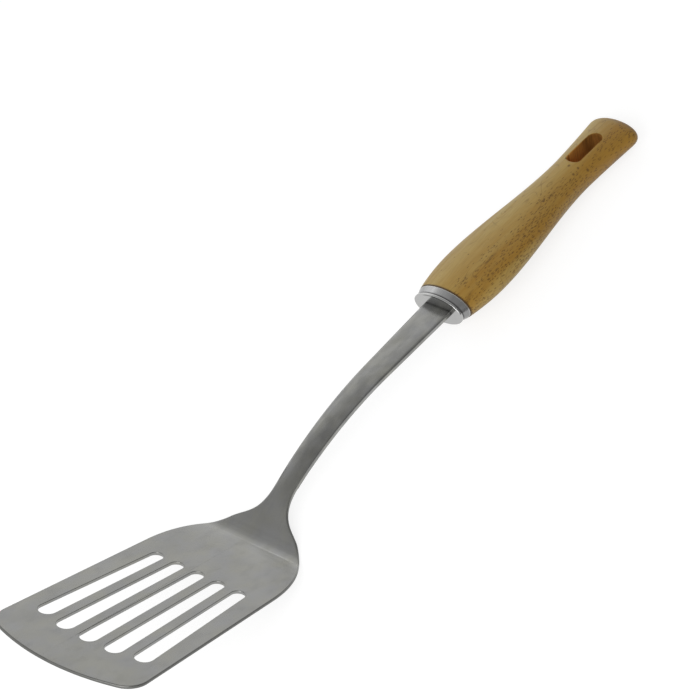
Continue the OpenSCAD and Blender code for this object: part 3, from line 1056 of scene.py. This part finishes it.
class SPATULA_OT_band(bpy.types.Operator):
    """Add the tapered steel band behind the front plate"""

    bl_idname = "spatula.add_band"
    bl_label = "Band"

    def execute(self, context):
        c = context.scene.spatula_cap
        s = context.scene.spatula_strip
        front = (c.plate_t, c.plate_w / 2 - c.band_inset, c.plate_h / 2 - c.band_inset)
        back = (c.plate_t + c.band_l, c.band_w / 2, c.band_h / 2)
        piece = oval(*front, CAP_SIDES)
        draw_out(piece, [front, back])
        edit(piece)
        pick(piece, lambda centre, normal: abs(normal.x) > 0.9)
        bpy.ops.mesh.delete(type="ONLY_FACE")
        apply_modifier(piece, "SOLIDIFY", thickness=c.band_t, offset=-1.0, use_even_offset=True)
        round_edges(piece, math.radians(60), lambda co: c.band_edge_r, 4)
        shade(piece, math.radians(35), 100)
        place = handle_place(s)
        put(piece, place)
        finish = satin_band_steel(context.scene.spatula_colours, place, front[0], back[0])
        finish_piece(piece, "band", finish, "band_steel", "ferrule")
        return {"FINISHED"}


def handle_section(h, c, x):
    """Half width and half height of the handle at x past the front plate's face."""
    start = c.plate_t + c.band_l
    wide_power, thin_power, end_power = 1.4, 1.8, 2.7
    if x < h.swell_x:
        u = 1 - (1 - (x - start) / (h.swell_x - start)) ** 2
        w = c.band_w + (h.swell_w - c.band_w) * u
        t = c.band_h + (h.swell_h - c.band_h) * u
    elif x < h.waist_x:
        u = smooth((x - h.swell_x) / (h.waist_x - h.swell_x))
        w = h.swell_w + (h.waist_w - h.swell_w) * u
        t = h.swell_h + (h.waist_h - h.swell_h) * u
    else:
        u = (x - h.waist_x) / (h.handle_l - h.waist_x)
        w = h.waist_w + (h.flare_w - h.waist_w) * u**wide_power
        t = h.waist_h + (h.flare_h - h.waist_h) * u**thin_power
    flat = h.handle_l - h.end_round_l
    if x > flat:
        shrink = max(0.02, 1 - ((x - flat) / h.end_round_l) ** end_power) ** (1 / end_power)
        return w / 2 * shrink, t / 2 * shrink
    return w / 2, t / 2


def handle_sections(h, c):
    """The handle's sections from its tenon to its end."""
    start = c.plate_t + c.band_l
    flat = h.handle_l - h.end_round_l
    gap = 0.1 * MM
    side = c.band_t + gap
    sections = [
        (c.plate_t, c.plate_w / 2 - c.band_inset - side, c.plate_h / 2 - c.band_inset - side),
        (start, c.band_w / 2 - side, c.band_h / 2 - side),
    ]
    rounds = 4
    for k in range(rounds + 1):
        a = math.pi / 2 * k / rounds
        x = start + h.joint_r * (1 - math.cos(a))
        w, t = handle_section(h, c, x)
        off = h.joint_r * (1 - math.sin(a))
        sections.append((x, w - off, t - off))
    first = start + h.joint_r
    steps = 64
    for k in range(1, steps + 1):
        x = first + (flat - first) * k / steps
        sections.append((x, *handle_section(h, c, x)))
    steps = 18
    for k in range(1, steps):
        x = flat + h.end_round_l * math.sin(math.pi / 2 * k / steps)
        sections.append((x, *handle_section(h, c, x)))
    last = handle_section(h, c, h.handle_l)
    sections.append((h.handle_l, last[0] * 0.5, last[1] * 0.5))
    return sections


class SPATULA_OT_handle(bpy.types.Operator):
    """Add the beech handle: tenon, swell, waist, flared round end and hanging slot"""

    bl_idname = "spatula.add_handle"
    bl_label = "Handle"

    def execute(self, context):
        h = context.scene.spatula_handle
        c = context.scene.spatula_cap
        s = context.scene.spatula_strip
        sections = handle_sections(h, c)
        piece = oval(*sections[0], HANDLE_SIDES)
        draw_out(piece, sections)
        middle = h.handle_l - h.hang_back - h.hang_l / 2
        bpy.ops.mesh.primitive_cylinder_add(
            vertices=64, radius=h.hang_w / 2, depth=3 * h.swell_h, location=(middle, 0, 0)
        )
        cutter = context.object
        bpy.ops.object.transform_apply()
        reach = (h.hang_l - h.hang_w) / 2
        for v in cutter.data.vertices:
            if abs(v.co.x - middle) > MERGE:
                v.co.x += math.copysign(reach, v.co.x - middle)
        cut_away(piece, cutter)
        round_edges(piece, math.radians(50), lambda co: h.hang_edge_r if co.x > h.waist_x else 0.01 * MM, 4)
        shade(piece, math.radians(40), 50)
        place = handle_place(s)
        put(piece, place)
        finish = oiled_beech(context.scene.spatula_colours, h, place, c.plate_t + c.band_l)
        finish_piece(piece, "beech_handle", finish, "beech", "handle")
        return {"FINISHED"}


class SPATULA_OT_bond(bpy.types.Operator):
    """Give the adhesive bed its finish"""

    bl_idname = "spatula.dress_bond"
    bl_label = "Adhesive bed"

    def execute(self, context):
        bed = frame["nodes"]["bond"]
        bed.data.materials.clear()
        bed.data.materials.append(set_adhesive(context.scene.spatula_colours))
        return {"FINISHED"}


def seen_or_mirrored(f):
    """1 for what the camera sees, straight, in gloss or through glass, and 0 for light on the object."""
    path = f.node("LightPath").outputs
    seen = f.math("MAXIMUM", path["Is Camera Ray"], path["Is Glossy Ray"])
    return f.math("MAXIMUM", seen, path["Is Transmission Ray"])


def pale_floor(colours):
    """A matte floor that looks white and still takes the object's shadow."""
    f = Finish(bpy.data.materials.new("pale_floor"))
    matte = f.node("BsdfDiffuse", {"Color": scaled(colours.table)})
    white = f.node("Emission", {"Color": grey(1), "Strength": 0.78})
    half = f.node("BsdfDiffuse", {"Color": grey(0.3)})
    bright = f.node("AddShader", {0: white.outputs[0], 1: half.outputs[0]})
    return f.end(f.node("MixShader", {0: seen_or_mirrored(f), 1: matte.outputs[0], 2: bright.outputs[0]}))


def studio_room(strength):
    """A pale room: bright low down, greyer overhead and on the right of the camera."""
    f = Finish(bpy.data.worlds.new("studio"), "OutputWorld")
    way = f.node("TexCoord").outputs["Generated"]
    height = f.graded(f.part(way, "Z"), ROOM_LEVELS)
    right = f.node("VectorMath", {0: way, 1: (0.6, -0.8, 0.0)}, operation="DOT_PRODUCT").outputs["Value"]
    dim = f.spread(right, 0.32, 0.8, 1.0, 0.28)
    lift = f.spread(f.part(way, "Y"), 0.56, 0.76, 1.0, 1.3)
    level = f.times(height, f.times(dim, lift))
    return f.end(f.node("Background", {"Color": grey(1), "Strength": f.times(level, strength)}))


class SPATULA_OT_stage(bpy.types.Operator):
    """Add the pale floor, the soft light and the camera"""

    bl_idname = "spatula.add_stage"
    bl_label = "Stage"

    def execute(self, context):
        t = context.scene.spatula_stage
        deselect_all()
        bpy.ops.mesh.primitive_plane_add(size=8.0, location=(0, 0, -0.00005))
        floor = context.object
        floor.name = "floor"
        floor.data.materials.append(pale_floor(context.scene.spatula_colours))
        context.scene.world = studio_room(t.room_light)
        place = Vector((-1.2, -0.45, 0.8))
        bpy.ops.object.light_add(type="AREA", location=place)
        softbox = context.object
        softbox.name = "front_softbox"
        softbox.rotation_euler = (-place).to_track_quat("-Z", "Y").to_euler()
        softbox.data.shape = "RECTANGLE"
        softbox.data.size = softbox.data.size_y = 1.0
        softbox.data.energy = t.softbox_light
        bpy.ops.object.camera_add(location=t.camera_place, rotation=t.camera_turn)
        camera = context.object
        camera.name = "camera"
        camera.data.lens = t.lens
        camera.data.sensor_width = 36.0
        camera.data.clip_end = 50.0
        camera.data.dof.use_dof = False
        context.scene.camera = camera
        context.scene.view_settings.view_transform = "Standard"
        return {"FINISHED"}


STEPS = (
    SPATULA_OT_strip,
    SPATULA_OT_end_plate,
    SPATULA_OT_band,
    SPATULA_OT_handle,
    SPATULA_OT_bond,
    SPATULA_OT_stage,
)
GROUPS = {
    "spatula_strip": StripSizes,
    "spatula_cap": EndCapSizes,
    "spatula_handle": HandleSizes,
    "spatula_colours": FinishColours,
    "spatula_stage": StageSettings,
}


class SPATULA_PT_panel(bpy.types.Panel):
    """Sidebar panel that lists the steps and the sizes"""

    bl_idname = "SPATULA_PT_panel"
    bl_label = "Slotted spatula"
    bl_space_type = "VIEW_3D"
    bl_region_type = "UI"
    bl_category = "Spatula"

    def draw(self, context):
        for step in STEPS:
            self.layout.operator(step.bl_idname)
        for name, group in GROUPS.items():
            box = self.layout.box()
            box.label(text=group.__doc__)
            for key in group.__annotations__:
                box.prop(getattr(context.scene, name), key)


def register():
    """Registers the sizes, the steps and the panel."""
    for name, group in GROUPS.items():
        bpy.utils.register_class(group)
        setattr(bpy.types.Scene, name, bpy.props.PointerProperty(type=group))
    for step in (*STEPS, SPATULA_PT_panel):
        bpy.utils.register_class(step)


def unregister():
    """Takes back what register did."""
    for step in (SPATULA_PT_panel, *reversed(STEPS)):
        bpy.utils.unregister_class(step)
    for name, group in reversed(GROUPS.items()):
        delattr(bpy.types.Scene, name)
        bpy.utils.unregister_class(group)


def main():
    """Builds the spatula and its stage."""
    register()
    bpy.ops.spatula.add_strip()
    bpy.ops.spatula.add_end_plate()
    bpy.ops.spatula.add_band()
    bpy.ops.spatula.add_handle()
    bpy.ops.spatula.dress_bond()
    bpy.ops.spatula.add_stage()


if __name__ == "__main__":
    main()
